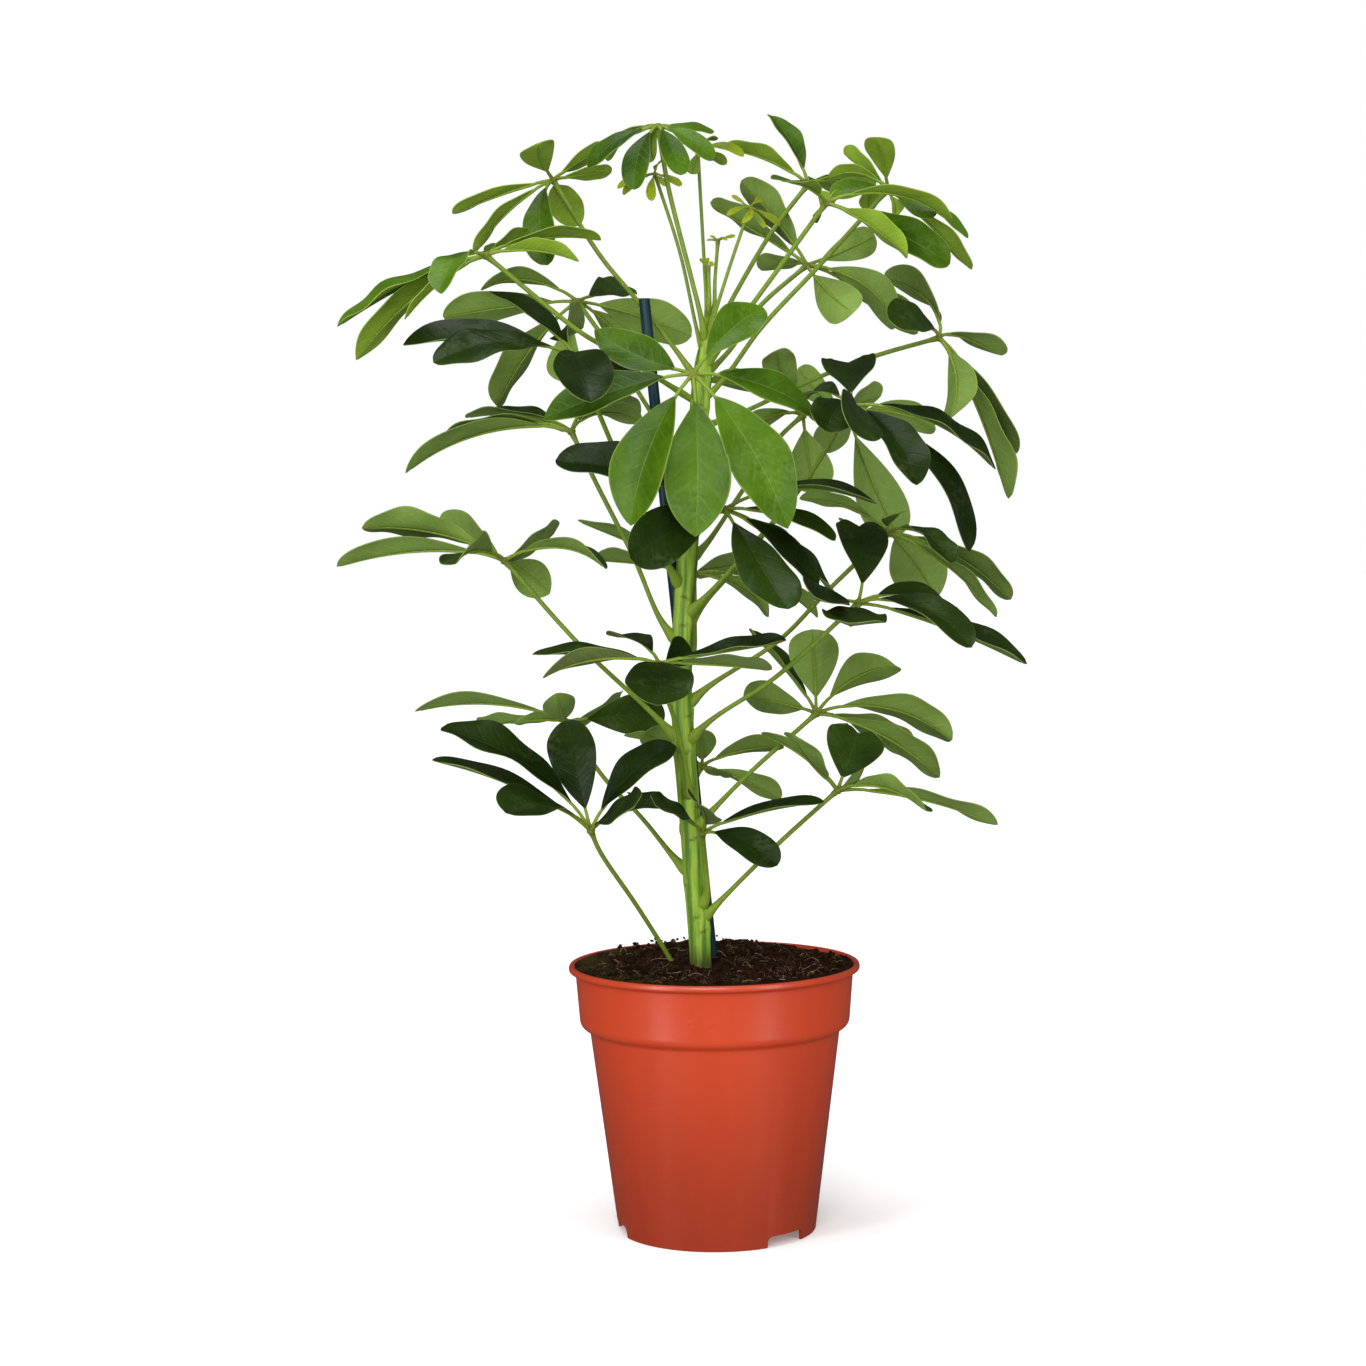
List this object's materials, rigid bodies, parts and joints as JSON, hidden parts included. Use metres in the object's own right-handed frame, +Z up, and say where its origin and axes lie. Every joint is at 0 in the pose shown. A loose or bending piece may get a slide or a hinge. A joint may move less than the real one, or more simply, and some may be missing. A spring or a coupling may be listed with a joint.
{
  "type": "potted umbrella plant",
  "caption": "Staked umbrella plant with fingered compound leaves on long stalks around one green stem, in a round plastic nursery pot filled with soil.",
  "frame": {"origin": "on the pot's axis, at the surface that the pot stands on", "axes": "+Z up along the pot's axis, -Y towards the viewer of the picture, +X to the viewer's right"},
  "size_m": [0.3991, 0.2821, 0.6579],
  "materials": {
    "pot_plastic": "moulded terracotta-orange plastic, semi-gloss",
    "soil": "dark peat with pale fibres, matt",
    "stem": "smooth green bark with pale streaks and brown leaf scars",
    "stake": "dark teal coated plant stick, satin",
    "leaf_dark": "waxy dark green with a pale midrib and paler underside",
    "leaf_green": "glossy mid green with a pale midrib and margin",
    "leaf_light": "light green, mostly seen from its matt underside",
    "leaf_young": "soft yellow green, young"
  },
  "bodies": {
    "root": {"pot": "pot_plastic", "soil": "soil", "stem": "stem", "stake": "stake", "leaf_crown_left": "leaf_green", "leaf_high_left": "leaf_light", "leaf_back_left": "leaf_light", "leaf_front_left": "leaf_dark", "leaf_mid_left": "leaf_light", "leaf_low_left": "leaf_light", "leaf_top": "leaf_green", "leaf_young_left": "leaf_young", "leaf_young_centre": "leaf_young", "leaf_young_right": "leaf_young", "leaf_bud_right": "leaf_young", "leaf_bud_centre": "leaf_young", "leaf_crown_back": "leaf_green", "leaf_crown_right": "leaf_green", "leaf_crown_far_right": "leaf_green", "leaf_right_back": "leaf_light", "leaf_far_right": "leaf_light", "leaf_dark_right": "leaf_dark", "leaf_behind_right": "leaf_light", "leaf_behind_far_right": "leaf_light", "leaf_right_mid": "leaf_light", "leaf_front_dark": "leaf_dark", "leaf_right_low_dark": "leaf_dark", "leaf_right_light": "leaf_light", "leaf_lowest_right": "leaf_light", "leaf_lowest_left": "leaf_dark", "leaf_low_back_left": "leaf_light", "leaf_centre": "leaf_green", "leaf_low_centre": "leaf_dark", "leaf_low_front": "leaf_dark", "leaf_low_back": "leaf_light", "leaf_mid_back": "leaf_light"}
  },
  "joints": []
}
